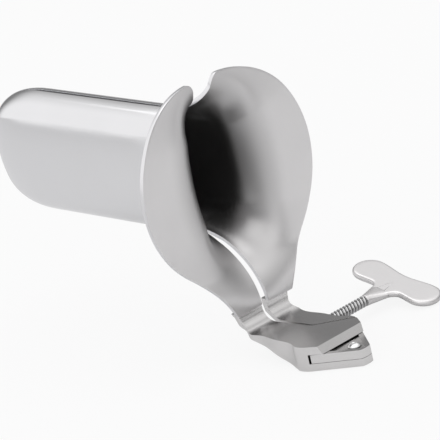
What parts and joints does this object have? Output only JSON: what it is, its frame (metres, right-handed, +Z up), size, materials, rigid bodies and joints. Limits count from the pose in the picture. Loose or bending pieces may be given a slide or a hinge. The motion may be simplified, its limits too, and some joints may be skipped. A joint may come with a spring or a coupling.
{
  "type": "bivalve speculum",
  "caption": "Two oval sheet-steel blades with flared mouths on a box-jointed handle, spread by a hand screw with a two-lobed thumb plate.",
  "frame": {"origin": "where the pivot rivet's axis meets the flat underside of the box joint", "axes": "+Z up along the pivot's axis, -X along the blades to their tip, the split between the valves in the plane y = 0 and the screw leaving towards +Y"},
  "size_m": [0.142, 0.0733, 0.0775],
  "materials": {
    "polished_steel": "polished stainless steel",
    "arm_steel": "satin-polished stainless steel",
    "rivet_steel": "hammered and polished stainless steel",
    "screw_steel": "turned stainless steel",
    "plate_steel": "satin stainless steel"
  },
  "bodies": {
    "left_valve": {"left_blade": "polished_steel", "left_arm": "arm_steel", "pivot_rivet": "rivet_steel"},
    "right_valve": {"right_blade": "polished_steel", "right_arm": "arm_steel"},
    "screw": {"screw_shaft": "screw_steel"},
    "thumb_screw_plate": {"thumb_plate": "plate_steel"}
  },
  "joints": [
    {"name": "valve_hinge", "type": "hinge", "parent": "left_valve", "child": "right_valve", "pos_m": [0, 0, 0.0034], "axis": [0, 0, -1], "range_deg": [0, 28]},
    {"name": "screw_travel", "type": "slide", "parent": "right_valve", "child": "screw", "axis": [0, -1, 0], "range_m": [0, 0.01]},
    {"name": "plate_turn", "type": "hinge", "parent": "screw", "child": "thumb_screw_plate", "pos_m": [-0.0202, 0.0375, 0.00435], "axis": [0, -1, 0], "range_deg": [0, 3200]}
  ],
  "couplings": [
    {"joint": "screw_travel", "follows": "valve_hinge", "m_per_rad": 0.0202},
    {"joint": "plate_turn", "follows": "valve_hinge", "ratio": 111.34}
  ]
}
